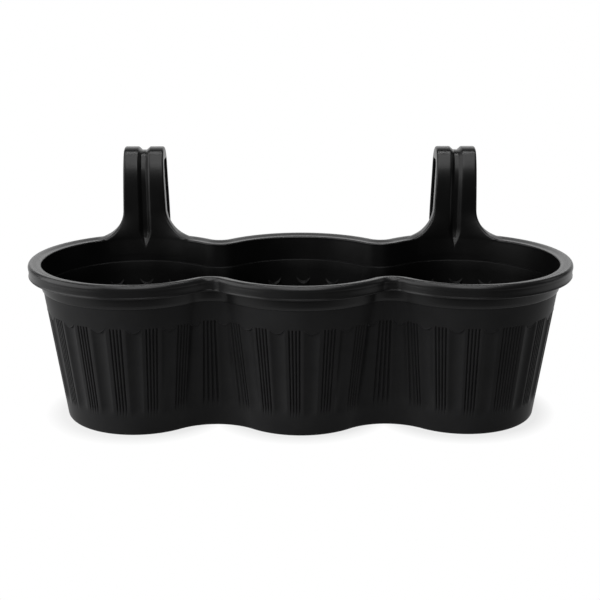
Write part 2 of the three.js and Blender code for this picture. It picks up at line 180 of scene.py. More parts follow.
def quarter_lengths(z):
    """Lengths of the three parts of the quarter outline at this height."""
    middle, end, waist = radii_at(z)
    _, _, a_middle, a_end = waist_of((middle, end, waist))
    lengths = (middle * (math.pi / 2 - a_middle), waist * (a_end - a_middle), end * a_end)
    return [float(length) for length in lengths]


LENGTHS = quarter_lengths(PATTERN_TOP)
HALF_WALL = sum(LENGTHS)
FULL_WALL = 4 * HALF_WALL
END_MIDDLE = HALF_WALL - float(radii_at(PATTERN_TOP)[1]) * math.pi / 2


def quarter_place(length):
    """t on the quarter outline at this length from its start."""
    one, two, three = LENGTHS
    t = np.where(length < one, length / one, 1 + (length - one) / two)
    return np.where(length < one + two, t, 2 + np.minimum(1, (length - one - two) / three))


def wall_points(place, z, depth):
    """Points on the wall, sunk by depth. Places run round the outline from 0 at the front's middle."""
    place = place - FULL_WALL * np.round(place / FULL_WALL)
    at_back = np.abs(place) > HALF_WALL
    length = np.where(at_back, 2 * HALF_WALL - np.abs(place), np.abs(place))
    radii = radii_at(z)
    px, py, nx, ny = quarter_point(radii, column_at(radii, quarter_place(length)))
    hand, side = np.where(place < 0, -1, 1), np.where(at_back, 1, -1)
    return np.stack([hand * (px - depth * nx), side * (py - depth * ny), z + 0 * px], -1)


# The pattern round the wall


def in_waist(s):
    return WAIST_REACH[0] < s < WAIST_REACH[1]


def flutes_at_back(first, last):
    """Three flutes behind each pot, and the others spread evenly from group to group."""
    half = 2 * HALF_WALL
    right, middle, left = BACK_SHIFTS
    fixed = []
    for place in (half - END_MIDDLE - right, half - middle, half + END_MIDDLE - left):
        fixed += [place - BACK_SPACING, place, place + BACK_SPACING]
    found = [first]
    for place in fixed + [last]:
        start = found[-1]
        steps = max(1, round((place - start) / BACK_SPACING))
        found += [lerp(start, place, i / steps) for i in range(1, steps + 1)]
    return found[1:-1]


def all_flutes():
    """[middle, width] of every flute once round."""
    middles = FRONT_FLUTES + flutes_at_back(FRONT_FLUTES[-1], FRONT_FLUTES[0] + FULL_WALL)
    widths = []
    for middle in middles:
        from_middle = abs(middle - 2 * HALF_WALL) if middle > HALF_WALL else abs(middle)
        widths.append(WAIST_FLUTE_WIDTH if in_waist(from_middle) else FLUTE_WIDTH)
    return list(zip(middles, widths))


FLUTES = all_flutes()


def groove_middles(low, high):
    count = max(FEWEST_GROOVES, 1 + round((high - low - 2 * GROOVE_MARGIN) / GROOVE_SPACING))
    first = (low + high) / 2 - (count - 1) * GROOVE_SPACING / 2
    return [first + i * GROOVE_SPACING for i in range(count)]


def wall_grooves():
    found = []
    after = FLUTES[1:] + [(FLUTES[0][0] + FULL_WALL, FLUTES[0][1])]
    for (middle, width), (next_middle, next_width) in zip(FLUTES, after):
        found += groove_middles(middle + width / 2, next_middle - next_width / 2)
    return found


GROOVES = wall_grooves()


FLUTE_COLUMNS = 13
GROOVE_COLUMNS = (-0.62, -0.5, -0.38, -0.25, -0.12, 0, 0.12, 0.25, 0.38, 0.5)
COLUMN_BESIDE_FLUTE = 0.35
LEAST_COLUMN_GAP = 0.12


def column_places():
    """Places once round the wall, close together where the pattern turns."""
    places = []
    for middle, width in FLUTES:
        places += [middle + width * k for k in np.linspace(-0.5, 0.5, FLUTE_COLUMNS)]
        places += [middle + hand * (width / 2 + COLUMN_BESIDE_FLUTE) for hand in (-1, 1)]
    for middle in GROOVES:
        places += [middle + GROOVE_WIDTH * k for k in GROOVE_COLUMNS]
    places.sort()
    kept = [places[0]]
    for place in places[1:]:
        if place - kept[-1] > LEAST_COLUMN_GAP:
            kept.append(place)
    return np.array(kept)


def pattern_at(s):
    """Depths of the flutes and the grooves at these places, the scallop's drop, and its lip's share."""
    flute, drop, groove, lip = (np.zeros_like(s) for _ in range(4))
    for middle, width in FLUTES:
        k = (s - middle) / (width / 2)
        inside = np.abs(k) < 1
        flute = np.where(inside, FLUTE_DEPTH * (1 - k * k) * (width / FLUTE_WIDTH), flute)
        drop = np.where(inside, SCALLOP_DROP * (1 - k * k), drop)
        lip = np.where(inside, np.minimum(1, LIP_STEEPNESS * (1 - k * k)), lip)
    for middle in GROOVES:
        k = (s - middle) / (GROOVE_WIDTH / 2)
        groove = np.where(np.abs(k) < 1, GROOVE_DEPTH * 0.5 * (1 + np.cos(math.pi * k)), groove)
    return flute, drop, groove, lip


# Meshes


def mesh_object(name, verts, faces, material, sharp=None):
    mesh = bpy.data.meshes.new(name)
    mesh.from_pydata([tuple(v) for v in np.asarray(verts) * MM], [], faces)
    mesh.validate()
    mesh.materials.append(material)
    mesh.shade_smooth()
    if sharp:
        mesh.set_sharp_from_angle(angle=math.radians(sharp))
    obj = bpy.data.objects.new(name, mesh)
    bpy.context.scene.collection.objects.link(obj)
    return obj


def mark_shaded_inside(obj, inside):
    """Tells the material which points are on the inside, where it paints shade by darkening the colour."""
    mark = obj.data.attributes.new("inside", "FLOAT", "POINT")
    mark.data.foreach_set("value", inside.astype(np.float32))


def grid_faces(rows, columns, start=0, closed=True, flip=False):
    """Quads over a grid of points stored row by row."""
    faces = []
    for r in range(rows - 1):
        for c in range(columns if closed else columns - 1):
            d = (c + 1) % columns
            low, high = start + r * columns, start + (r + 1) * columns
            quad = (low + c, low + d, high + d, high + c)
            faces.append(quad[::-1] if flip else quad)
    return faces


def circle(x, y, radius, z, count):
    a = np.arange(count) / count * 2 * math.pi
    return np.stack([x + radius * np.cos(a), y + radius * np.sin(a), np.full(count, z)], -1)


SAME_POINT = 1e-6
HOLE_SHARE = 0.999


class Shell:
    """Collects points and faces, with flat fills between loops."""

    def __init__(self):
        self.verts, self.faces = [], []

    def add(self, points):
        """Adds a loop of points and returns their numbers."""
        start = len(self.verts)
        self.verts += [tuple(p) for p in points]
        return list(range(start, len(self.verts)))

    def band(self, low, high, flip=False):
        """Quads between two loops of as many points."""
        n = len(low)
        for i in range(n):
            j = (i + 1) % n
            quad = (low[i], low[j], high[j], high[i])
            self.faces.append(quad[::-1] if flip else quad)

    def middle_of(self, loop):
        return np.mean([self.verts[i][:2] for i in loop], 0)

    def fill(self, outer, holes, up):
        """A flat face inside the outer loop and outside the round holes, looking up or down."""
        loops = [outer] + holes
        flat = [Vector(self.verts[i][:2]) for loop in loops for i in loop]
        index = [i for loop in loops for i in loop]
        edges, start = [], 0
        for loop in loops:
            n = len(loop)
            edges += [(start + i, start + (i + 1) % n) for i in range(n)]
            start += n
        _, _, faces, origin, _, _ = delaunay_2d_cdt(flat, edges, [], 1, SAME_POINT)
        rings = []
        for hole in holes:
            centre = self.middle_of(hole)
            rings.append((centre, math.dist(self.verts[hole[0]][:2], centre)))
        for face in faces:
            corners = [index[origin[v][0]] for v in face]
            middle = self.middle_of(corners)
            if any(math.dist(middle, centre) < radius * HOLE_SHARE for centre, radius in rings):
                continue
            a, b, c = (self.verts[i] for i in corners[:3])
            ccw = (b[0] - a[0]) * (c[1] - a[1]) - (b[1] - a[1]) * (c[0] - a[0]) > 0
            self.faces.append(tuple(corners if ccw == up else corners[::-1]))


# The pots: one skin from the foot up the outside, over the step and down the inside to the floor

FOOT_ROUND = 2.5
FLOOR_FILLET = 2.5
LEDGE_ROUND = 0.9
RECESS_RADIUS = 54.0
RECESS_DEPTH = 1.2
PAD_RADIUS = 10.0
DRAIN_RADIUS = 3.5
DRAIN_CIRCLE = 34.0
DRAINS_PER_POT = 4
DRAIN_SIDES = 24
RECESS_SIDES = 96
PAD_SIDES = 36
RECESS_SLOPE = 1.0
PAD_SLOPE = 0.8
# [growth of the radius, z] down the rounded edges of a drain hole
DRAIN_LEVELS = (
    (0.6, FLOOR_TOP), (0.15, FLOOR_TOP - 0.15), (0, FLOOR_TOP - 0.6),
    (0, RECESS_DEPTH + 0.4), (0.4, RECESS_DEPTH),
)

ROUND_STEPS = (0, 18, 36, 54, 72, 90)
FILLET_STEPS = (90, 65, 40, 20, 0)
OUTER_HEIGHTS = (6, 12, 18, 20, 22, 24, 26, 29, 36, 47, 58, 72, 86, 95)
INNER_HEIGHTS = (90, 72, 54, 40, 34, 29, 26, 24, 22, 18, 12)
# [distance below the scallop's edge, share of the pattern's depth] on the outside
PATTERN_END = ((4, 1), (2, 1), (1.3, 1), (1.0, 0.98), (0.8, 0.85), (0.6, 0.55), (0.4, 0.25), (0.2, 0.06))
# [distance above the scallop's edge, share of the lip's height]
LIP_FORM = ((0.0, 0.6), (0.2, 1), (0.45, 0.95), (0.75, 0.4), (1.0, 0.08), (1.3, 0), (2.0, 0))
LIP_TOP = LIP_FORM[-1][0]
PLAIN_SHARES = (0.3, 0.7, 0.97, 1)
# [distance above the scallop's edge, share of the flute's depth] on the inside
INNER_PATTERN_END = (
    (2.0, 0), (1.3, 0), (1.0, 0.06), (0.7, 0.25), (0.35, 0.5), (0, 0.75),
    (-0.3, 0.94), (-0.5, 1), (-1.0, 1), (-2, 1), (-4, 1),
)


def round_edge(radius, degrees):
    """How far a point on a round edge lies from the edge's two sides."""
    a = math.radians(degrees)
    return radius * (1 - math.cos(a)), radius * (1 - math.sin(a))


def outer_rows(drop, flute, groove, lip):
    """Rows of [z, depth] up the outside."""
    top = PATTERN_TOP - drop
    rows = [round_edge(FOOT_ROUND, degrees) for degrees in ROUND_STEPS]
    for z in OUTER_HEIGHTS:
        rows.append((z, (flute + groove) * smooth(FADE_BOTTOM, FADE_TOP, z)))
    for below, share in PATTERN_END:
        rows.append((top - below, (flute + groove) * share))
    for above, share in LIP_FORM:
        rows.append((top + above, -LIP * lip * share))
    for k in PLAIN_SHARES:
        rows.append((lerp(top + LIP_TOP, STEP_Z, k), 0.0))
    return rows


def inner_rows(drop, flute):
    """Rows of [z, depth] down the inside, where the flutes stand out."""
    top = PATTERN_TOP - drop
    rows = []
    for degrees in reversed(ROUND_STEPS):
        in_from_wall, down = round_edge(LEDGE_ROUND, degrees)
        rows.append((STEP_Z - down, WALL - in_from_wall))
    rows.append((lerp(STEP_Z, top, 0.5), WALL))
    for above, share in INNER_PATTERN_END:
        rows.append((top + above, WALL + flute * share))
    for z in INNER_HEIGHTS:
        rows.append((z, WALL + flute * smooth(FADE_BOTTOM, FADE_TOP, z)))
    for degrees in FILLET_STEPS:
        up, in_from_wall = round_edge(FLOOR_FILLET, degrees)
        rows.append((FLOOR_TOP + up, WALL + in_from_wall))
    return rows


def drain_holes(shell, x):
    """The drain holes of the pot at x; returns their upper and their lower loops."""
    upper, lower = [], []
    for i in range(DRAINS_PER_POT):
        a = (i + 0.5) / DRAINS_PER_POT * 2 * math.pi
        at = (x + DRAIN_CIRCLE * math.cos(a), DRAIN_CIRCLE * math.sin(a))
        loops = [shell.add(circle(*at, DRAIN_RADIUS + grow, z, DRAIN_SIDES)) for grow, z in DRAIN_LEVELS]
        for high, low in zip(loops, loops[1:]):
            shell.band(low, high, flip=True)
        upper.append(loops[0])
        lower.append(loops[-1])
    return upper, lower


def recess(shell, x, holes):
    """The shallow recess under the pot at x, with its pad; returns its lower loop."""
    half = RECESS_SLOPE / 2
    low = shell.add(circle(x, 0, RECESS_RADIUS, 0, RECESS_SIDES))
    soft = shell.add(circle(x, 0, RECESS_RADIUS - half, RECESS_DEPTH - half, RECESS_SIDES))
    high = shell.add(circle(x, 0, RECESS_RADIUS - RECESS_SLOPE, RECESS_DEPTH, RECESS_SIDES))
    shell.band(low, soft, flip=True)
    shell.band(soft, high, flip=True)
    pad_high = shell.add(circle(x, 0, PAD_RADIUS + PAD_SLOPE, RECESS_DEPTH, PAD_SIDES))
    pad_low = shell.add(circle(x, 0, PAD_RADIUS, 0, PAD_SIDES))
    shell.band(pad_low, pad_high)
    shell.fill(high, holes + [pad_high], False)
    shell.fill(pad_low, [], False)
    return low


def pot_walls(material):
    places = column_places()
    flute, drop, groove, lip = pattern_at(places)
    shell = Shell()
    rings = []
    outside = outer_rows(drop, flute, groove, lip)
    for z, depth in outside + inner_rows(drop, flute):
        rings.append(shell.add(wall_points(places, z + 0 * places, depth + 0 * places)))
    for low, high in zip(rings, rings[1:]):
        shell.band(low, high)
    pots = (-POT_PITCH, 0, POT_PITCH)
    holes = [drain_holes(shell, x) for x in pots]
    shell.fill(rings[-1], [loop for upper, _ in holes for loop in upper], True)
    recesses = [recess(shell, x, lower) for x, (_, lower) in zip(pots, holes)]
    shell.fill(rings[0], recesses, False)
    pot = mesh_object("pot_walls", shell.verts, shell.faces, material, sharp=40)
    # The inside rows are marked for the material's painted shade.
    mark_shaded_inside(pot, np.arange(len(shell.verts)) >= len(outside) * len(places))
    return pot


# The rim: one section carried round the outline

RIM_STEPS = (30, 26, 84)
RIM_WIDTH = 12.0
CREST_IN = 3.0
ROLL_HEIGHT = 4.0
INNER_DROP = 2.0
INNER_ROUND = 1.3
INNER_EDGE_UP = 0.15
NECK_TOP = RIM_TOP - INNER_DROP + INNER_EDGE_UP - INNER_ROUND
SKIRT_IN = 0.5
SKIRT = 2.4
SKIRT_ROUND = 0.4
NECK_FOOT = 1.2 - STEP_IN
NECK_THICK = 2.0
RIM_THICK = 2.5
NECK_DRAFT = 0.02
INNER_SIDE_BELOW = -11.7
SKIRT_BELOW_ROLL = 0.7
UNDER_ROUND = 0.8
ROLL_STEPS = (-14, 0, 12, 24, 36, 48, 60, 72, 82, 90)
TOP_SHARES = (0.12, 0.3, 0.5, 0.7, 0.88)
TOP_STEEPNESS = 1.15
INNER_ROUND_STEPS = (90, 72, 54, 36, 18, 0, -8)
INNER_SIDE_SHARES = (0.1, 0.3, 0.4, 0.5, 0.7, 0.93)
NECK_HEIGHTS = (127, 131, 136, 140)
# [offset, height above the skirt's foot] round the skirt's lip, which stands out a little
SKIRT_LIP = ((-0.75, 0), (-0.35, 0.12), (-0.12, 0.45), (-0.15, 0.9), (-SKIRT_IN + 0.1, 1.5), (-SKIRT_IN, 2.2))
# [offset, height] from the skirt's top into the roll, over a fine crease
CREASE = ((-SKIRT_IN, -0.5), (-SKIRT_IN - 0.1, 0), (-SKIRT_IN + 0.12, 0.3))
# [offset, height] round the neck's foot
NECK_EDGE = ((-0.55, 0), (-0.16, 0.16), (0, 0.55))


def rim_section():
    """[offset, z] pairs round the section, from the skirt's foot up the outside."""
    roll_z = RIM_TOP - ROLL_HEIGHT
    skirt_top = roll_z - SKIRT_BELOW_ROLL
    skirt_back = -SKIRT_IN - SKIRT
    under = RIM_TOP - INNER_DROP - RIM_THICK
    points = [(skirt_back, SKIRT_BOTTOM + SKIRT_ROUND), (skirt_back + SKIRT_ROUND, SKIRT_BOTTOM)]
    points += [(offset, SKIRT_BOTTOM + up) for offset, up in SKIRT_LIP]
    points.append((-SKIRT_IN, lerp(SKIRT_BOTTOM, skirt_top, 0.6)))
    points += [(offset, skirt_top + up) for offset, up in CREASE]
    for degrees in ROLL_STEPS:
        a = math.radians(degrees)
        points.append((-CREST_IN + CREST_IN * math.cos(a), roll_z + ROLL_HEIGHT * math.sin(a)))
    round_offset = -RIM_WIDTH + INNER_ROUND
    top_z = NECK_TOP + INNER_ROUND
    for k in TOP_SHARES:
        drop = (1 - math.cos(math.pi * min(1, k * TOP_STEEPNESS))) / 2
        points.append((lerp(-CREST_IN, round_offset, k), lerp(RIM_TOP, top_z, drop)))
    for degrees in INNER_ROUND_STEPS:
        a = math.radians(degrees)
        points.append((round_offset - INNER_ROUND * math.cos(a), NECK_TOP + INNER_ROUND * math.sin(a)))
    neck_back = NECK_FOOT - NECK_THICK
    points += [(lerp(-RIM_WIDTH, neck_back, k), lerp(NECK_TOP, STEP_Z, k)) for k in INNER_SIDE_SHARES]
    points.append((neck_back, STEP_Z))
    points += [(NECK_FOOT + out, STEP_Z + up) for out, up in NECK_EDGE]
    points += [(NECK_FOOT + (z - STEP_Z) * NECK_DRAFT, z) for z in NECK_HEIGHTS + (under - UNDER_ROUND,)]
    points.append((NECK_FOOT + (under - STEP_Z) * NECK_DRAFT + UNDER_ROUND, under))
    points += [(skirt_back - UNDER_ROUND, under), (skirt_back, under - UNDER_ROUND)]
    return np.array(points)


def outline_loop():
    """t, and the signs of x and y, of the points once round the outline."""
    quarter = np.concatenate([np.arange(n) / n + i for i, n in enumerate(RIM_STEPS)] + [[3.0]])
    t = np.concatenate([quarter, quarter[::-1][1:], quarter[1:], quarter[::-1][1:-1]])
    n = len(quarter)
    hand = np.concatenate([np.full(n, 1), np.full(n - 1, 1), np.full(n - 1, -1), np.full(n - 2, -1)])
    side = np.concatenate([np.full(n, -1), np.full(n - 1, 1), np.full(n - 1, 1), np.full(n - 2, -1)])
    return t, hand, side


def rim(material):
    t, hand, side = outline_loop()
    section = rim_section()
    verts = []
    for offset, z in section:
        x, y, _, _ = quarter_point(rim_radii(offset + 0 * t), t)
        x, y = hand * x, side * y
        behind = (side > 0) & (offset < -RIM_WIDTH + HOOK_ROOM_DEEP) & (z > HOOK_ROOM_ABOVE)
        near = behind * (1 - smooth(*HOOK_ROOM_HALF, np.abs(np.abs(x) - HOOK_MIDDLE)))
        verts.append(np.stack([x, y + near * HOOK_GROOVE_ROOM, z + 0 * x], -1))
    faces = grid_faces(len(section) + 1, len(t))
    count = len(section) * len(t)
    faces = [tuple(v % count for v in f) for f in faces]
    band = mesh_object("rim_band", np.concatenate(verts), faces, material, sharp=50)
    # The rim's inner side is marked for the material's painted shade.
    mark_shaded_inside(band, np.repeat(section[:, 0] < INNER_SIDE_BELOW, len(t)))
    return band


# The hooks: a channel section lofted up from the rim, over the rail and down

HOOK_TOP = 234.6
HOOK_MIDDLE = POT_PITCH + 2.4
BEND = 20.0
HOOK_TOP_HALF = 19.5
HOOK_FOOT_HALF = 21.5
OUTER_FLARE = 24.5
INNER_FLARE = 27.0
PLATE = 3.0
SIDE_DEPTH = 12.0
FOOT_SIDE_DEPTH = 10.5
SIDE_THICK = 2.6
REAR_SIDE_DEPTH = 4.5
REAR_END = 156.6
SEAT_Z = 221.6
EDGE = 2.0
REAR_EDGE = 0.8
GROOVE_TOP_WIDTH = 11.5
GROOVE_FLOOR_WIDTH = 4.4
HOOK_GROOVE_DEPTH = 3.2
HOOK_FACE_Y = RIM_RADII[1] - RIM_WIDTH
STRAIGHT_Z = RIM_TOP + INNER_FLARE
BEND_Z = HOOK_TOP - BEND
GROOVE_END_Z = 136.0
GROOVE_FULL_Z = 156.0
# Room that the rim's inner side leaves for the foot of the hook's groove
HOOK_GROOVE_ROOM = 3.6
HOOK_ROOM_ABOVE = 136.0
HOOK_ROOM_DEEP = 4.0
HOOK_ROOM_HALF = (6.5, 9.5)
# Below the rim's top the hook is a thin skin, proud of the rim's inner side and sunk into it at its ends
SKIN_LOW_Z = 125.5
SKIN_FLUSH_Z = 132.0
SKIN_SUNK = 0.22
SKIN_THINNESS = 0.08
SKIN_TOP_Z = 144.5
SIDE_SUNK = 0.4
SIDE_SINK_FROM = 16.0
SIDE_SINK_TO = 1.0
SIDE_SINK_Z = (144.0, 147.5)
FOOT_SINK = 0.3
FOOT_SINK_HEIGHT = 1.5
DROP_DEPTHS = (1.0, 9.0)
ARC_SHARE = 0.9
GROOVE_LIP = 0.7
PROUD = 0.08
FLARE_BLEND = 14.0
# The outer face is eased into the bend from this height
EASE_FROM_Z = 192.0
EASE_POWER = 2.6
EASE_SEARCHES = 40
# Roundings and steps of the section
LEAST_ROOT = 0.2
LEAST_GROOVE_SHARE = 0.12
GROOVE_FLOOR_ROUND = 0.25
GROOVE_WALL_LOW = 0.35
GROOVE_WALL_HIGH = 0.6
GROOVE_EDGE = (0.15, 0.08)
FACE_FROM_GROOVE = 0.8
FACE_COLUMNS = 12
PLATE_COLUMNS = 14
INNER_CORNER = 0.8
SIDE_EDGE = 0.6
GROOVE_BACK_MARGIN = 0.4
LEAST_SIDE = 1.0
LEAST_SINE = 1e-3
# Points of the half section that lie on the outer face and its edge round
FACE_POINTS = 25
EASE_ON_SIDE = (0.67, 0.33)
# Stations from the skin's foot up the flare, over the bend and down the rear leg
SKIN_HEIGHTS = (
    125.5, 127, 128, 129, 130, 131, 132, 134, 136, 137, 139, 141, 143, 144, 145, 146, 147, 147.8, 148.3
)
FLARE_STEPS = (0, 3, 6, 9, 12, 16, 20, 25, 30, 36, 42, 48, 54, 60, 66, 72, 78, 84, 90)
STRAIGHT_SHARES = (0.2, 0.4, 0.5, 0.6, 0.7, 0.8, 0.9)
BEND_STEPS = 33
REAR_SHARES = (0.1, 0.3, 0.5, 0.7, 0.9, 0.985, 1)
EDGE_STEPS = (0, 15, 30, 45, 60, 75, 90)


def hook_stations():
    """[y, z, turn] of the outer face's middle line."""
    stations = [(HOOK_FACE_Y, float(z), 0.0) for z in SKIN_HEIGHTS]
    for degrees in FLARE_STEPS:
        rise = INNER_FLARE * (1 - math.cos(math.radians(degrees)))
        stations.append((HOOK_FACE_Y, RIM_TOP + rise, 0.0))
    for k in STRAIGHT_SHARES:
        stations.append((HOOK_FACE_Y, lerp(STRAIGHT_Z, BEND_Z, k), 0.0))
    for turn in np.linspace(0, math.pi, BEND_STEPS):
        back, up = BEND * (1 - math.cos(turn)), BEND * math.sin(turn)
        stations.append((HOOK_FACE_Y + back, BEND_Z + up, float(turn)))
    for k in REAR_SHARES:
        stations.append((HOOK_FACE_Y + 2 * BEND, lerp(BEND_Z, REAR_END, k), math.pi))
    return stations


def side_depth(z, turn):
    """How deep the channel's sides are; over the rail their edges are level."""
    if turn == 0:
        return lerp(FOOT_SIDE_DEPTH, SIDE_DEPTH, float(smooth(RIM_TOP, STRAIGHT_Z, z)))
    level = BEND - (SEAT_Z - BEND_Z) / max(math.sin(turn), LEAST_SINE)
    if turn <= math.pi / 2:
        return max(SIDE_DEPTH, level)
    rear = float(smooth(0.5 * math.pi, 0.75 * math.pi, turn))
    return max(lerp(SIDE_DEPTH, REAR_SIDE_DEPTH, rear), level)


def groove_fade(z, turn):
    return float(smooth(GROOVE_END_Z, GROOVE_FULL_Z, z)) if turn == 0 else 1.0


def hook_half(z, turn, flare):
    """Half the section as [across, depth].

    It runs from the groove's middle along the face, round the side and back along the inside.
    """
    taper = lerp(HOOK_FOOT_HALF, HOOK_TOP_HALF, float(smooth(RIM_TOP, HOOK_TOP, z)))
    above = min(1.0, max(0.0, (z - RIM_TOP) / flare)) if turn == 0 else 1.0
    root = math.sqrt(max(0.0, 1 - (1 - above) ** 2))
    half = taper + flare * (1 - root)
    stretch = math.hypot(1, (1 - above) / max(root, LEAST_ROOT))
    edge, rear_edge = EDGE * stretch, REAR_EDGE * stretch
    side = side_depth(z, turn)
    fade = groove_fade(z, turn)
    groove = HOOK_GROOVE_DEPTH * fade
    wide = GROOVE_TOP_WIDTH / 2 * lerp(LEAST_GROOVE_SHARE, 1, fade)
    narrow = GROOVE_FLOOR_WIDTH / 2 * fade
    plate = min(PLATE, side - LEAST_SIDE)
    low, high = np.array((narrow, groove)), np.array((wide, 0))
    wall = (high - low) / np.linalg.norm(high - low)
    points = [(0, groove), (narrow * 0.6, groove), (narrow - GROOVE_FLOOR_ROUND * fade, groove)]
    points += [low + wall * GROOVE_WALL_LOW * fade, lerp(low, high, 0.5)]
    points += [high - wall * GROOVE_WALL_HIGH * fade]
    points += [high + np.array((GROOVE_EDGE[0], GROOVE_EDGE[1] * fade))]
    for k in np.linspace(0, 1, FACE_COLUMNS)[:-1]:
        points.append((lerp(wide + FACE_FROM_GROOVE, half - edge, k), 0.0))
    for degrees in EDGE_STEPS:
        a = math.radians(degrees)
        points.append((half - edge * (1 - math.sin(a)), EDGE * (1 - math.cos(a))))
    points += [(half, lerp(EDGE, side - REAR_EDGE, k)) for k in (0.33, 0.67, 1)]
    points += [(half - 0.3 * rear_edge, side - 0.3 * REAR_EDGE), (half - rear_edge, side)]
    inner = half - SIDE_THICK * stretch
    points += [(inner + SIDE_EDGE, side), (inner, side - SIDE_EDGE)]
    points += [(inner, plate + INNER_CORNER), (inner - INNER_CORNER, plate)]
    groove_back = wide + PLATE / 2 + GROOVE_BACK_MARGIN
    for k in np.linspace(0, 1, PLATE_COLUMNS)[1:]:
        points.append((lerp(inner - INNER_CORNER, groove_back, k), plate))
    points += [(narrow + PLATE / 2, plate + groove), (0, plate + groove)]
    return np.array([tuple(point) for point in points], float)


def eased(z, turn):
    """How far the face in front of the bend lies inside a plain round bend."""
    height = HOOK_TOP - EASE_FROM_Z
    if turn == 0:
        up = max(0.0, (z - EASE_FROM_Z) / height)
        return BEND * (1 - (1 - up**EASE_POWER) ** (1 / EASE_POWER))
    if turn >= math.pi / 2:
        return 0.0
    low, high = 0.5 * BEND, BEND
    for _ in range(EASE_SEARCHES):
        radius = (low + high) / 2
        across = radius * math.cos(turn) / BEND
        up = (BEND_Z - EASE_FROM_Z + radius * math.sin(turn)) / height
        if across**EASE_POWER + up**EASE_POWER < 1:
            low = radius
        else:
            high = radius
    return BEND - high


def hook_ring(y, z, turn):
    """The right hook's section set on its station; across runs towards the planter's tip.

    Below the rim's top the section becomes a thin skin that follows the rim's curved inner side.
    """
    outer, inner = hook_half(z, turn, OUTER_FLARE), hook_half(z, turn, INNER_FLARE)
    section = np.concatenate([outer, (inner * [-1, 1])[::-1][1:-1]])
    on_face = np.zeros(len(outer))
    on_face[:FACE_POINTS] = 1
    on_face[FACE_POINTS:FACE_POINTS + 2] = EASE_ON_SIDE
    on_face = np.concatenate([on_face, on_face[::-1][1:-1]])
    across, depth = section[:, 0], section[:, 1] + eased(z, turn) * on_face
    heights = z - depth * math.sin(turn)
    behind = np.zeros_like(across)
    if turn == 0:
        thin = lerp(SKIN_THINNESS, 1.0, float(smooth(SKIN_TOP_Z, RIM_TOP, z)))
        kept = (np.abs(across) < GROOVE_TOP_WIDTH / 2 + GROOVE_LIP) & (z > GROOVE_END_Z)
        depth = np.where(kept, depth, depth * thin)
        low = float(smooth(SKIN_LOW_Z, RIM_TOP, z))
        low = low * (1 - float(smooth(RIM_TOP, RIM_TOP + FLARE_BLEND, z)))
        sink = FOOT_SINK * (1 - float(smooth(RIM_TOP, RIM_TOP + FOOT_SINK_HEIGHT, z)))
        heights = heights - low * INNER_DROP * (1 - smooth(*DROP_DEPTHS, depth)) - sink * low * (depth > EDGE)
        bow = 1 - float(smooth(RIM_TOP, STRAIGHT_Z, z))
        neck_in = NECK_THICK - NECK_FOOT - RIM_WIDTH
        lean = np.maximum(0, (NECK_TOP - heights) / (NECK_TOP - STEP_Z) * neck_in)
        arc = HOOK_FACE_Y - lean
        from_pot = across + HOOK_MIDDLE - POT_PITCH
        behind = bow * (arc - np.sqrt(arc**2 - np.minimum(np.abs(from_pot), ARC_SHARE * arc) ** 2)) + lean
        reach = np.where(across > 0, outer[:, 0].max(), inner[:, 0].max())
        sides = smooth(reach - SIDE_SINK_FROM, reach - SIDE_SINK_TO, np.abs(across))
        sides = sides * (1 - float(smooth(*SIDE_SINK_Z, z)))
        sunk = SKIN_SUNK * float(1 - smooth(SKIN_LOW_Z, SKIN_FLUSH_Z, z))
        behind += PROUD * bow - sunk - SIDE_SUNK * sides
    return np.stack([across, y + depth * math.cos(turn) - behind, heights], -1)


def hook(name, hand, material):
    rings = [hook_ring(*station) + [HOOK_MIDDLE, 0, 0] for station in hook_stations()]
    columns = len(rings[0])
    faces = grid_faces(len(rings), columns)
    last = (len(rings) - 1) * columns
    faces += [tuple(range(columns))[::-1], tuple(range(last, last + columns))]
    if hand < 0:
        faces = [face[::-1] for face in faces]
    return mesh_object(name, np.concatenate(rings) * [hand, 1, 1], faces, material, sharp=40)


# Materials


def node(tree, kind, **values):
    """A new node; values that start with in_ set its inputs, the others its properties."""
    made = tree.nodes.new(kind)
    for key, value in values.items():
        if key.startswith("in_"):
            made.inputs[key[3:].replace("_", " ")].default_value = value
        else:
            setattr(made, key, value)
    return made


NOISE_LOW = 0.3
NOISE_HIGH = 0.7
SHADE_SPREAD = 0.15
SLOW_SCALE = 34.0
SLOW_DEPTH = 0.00025


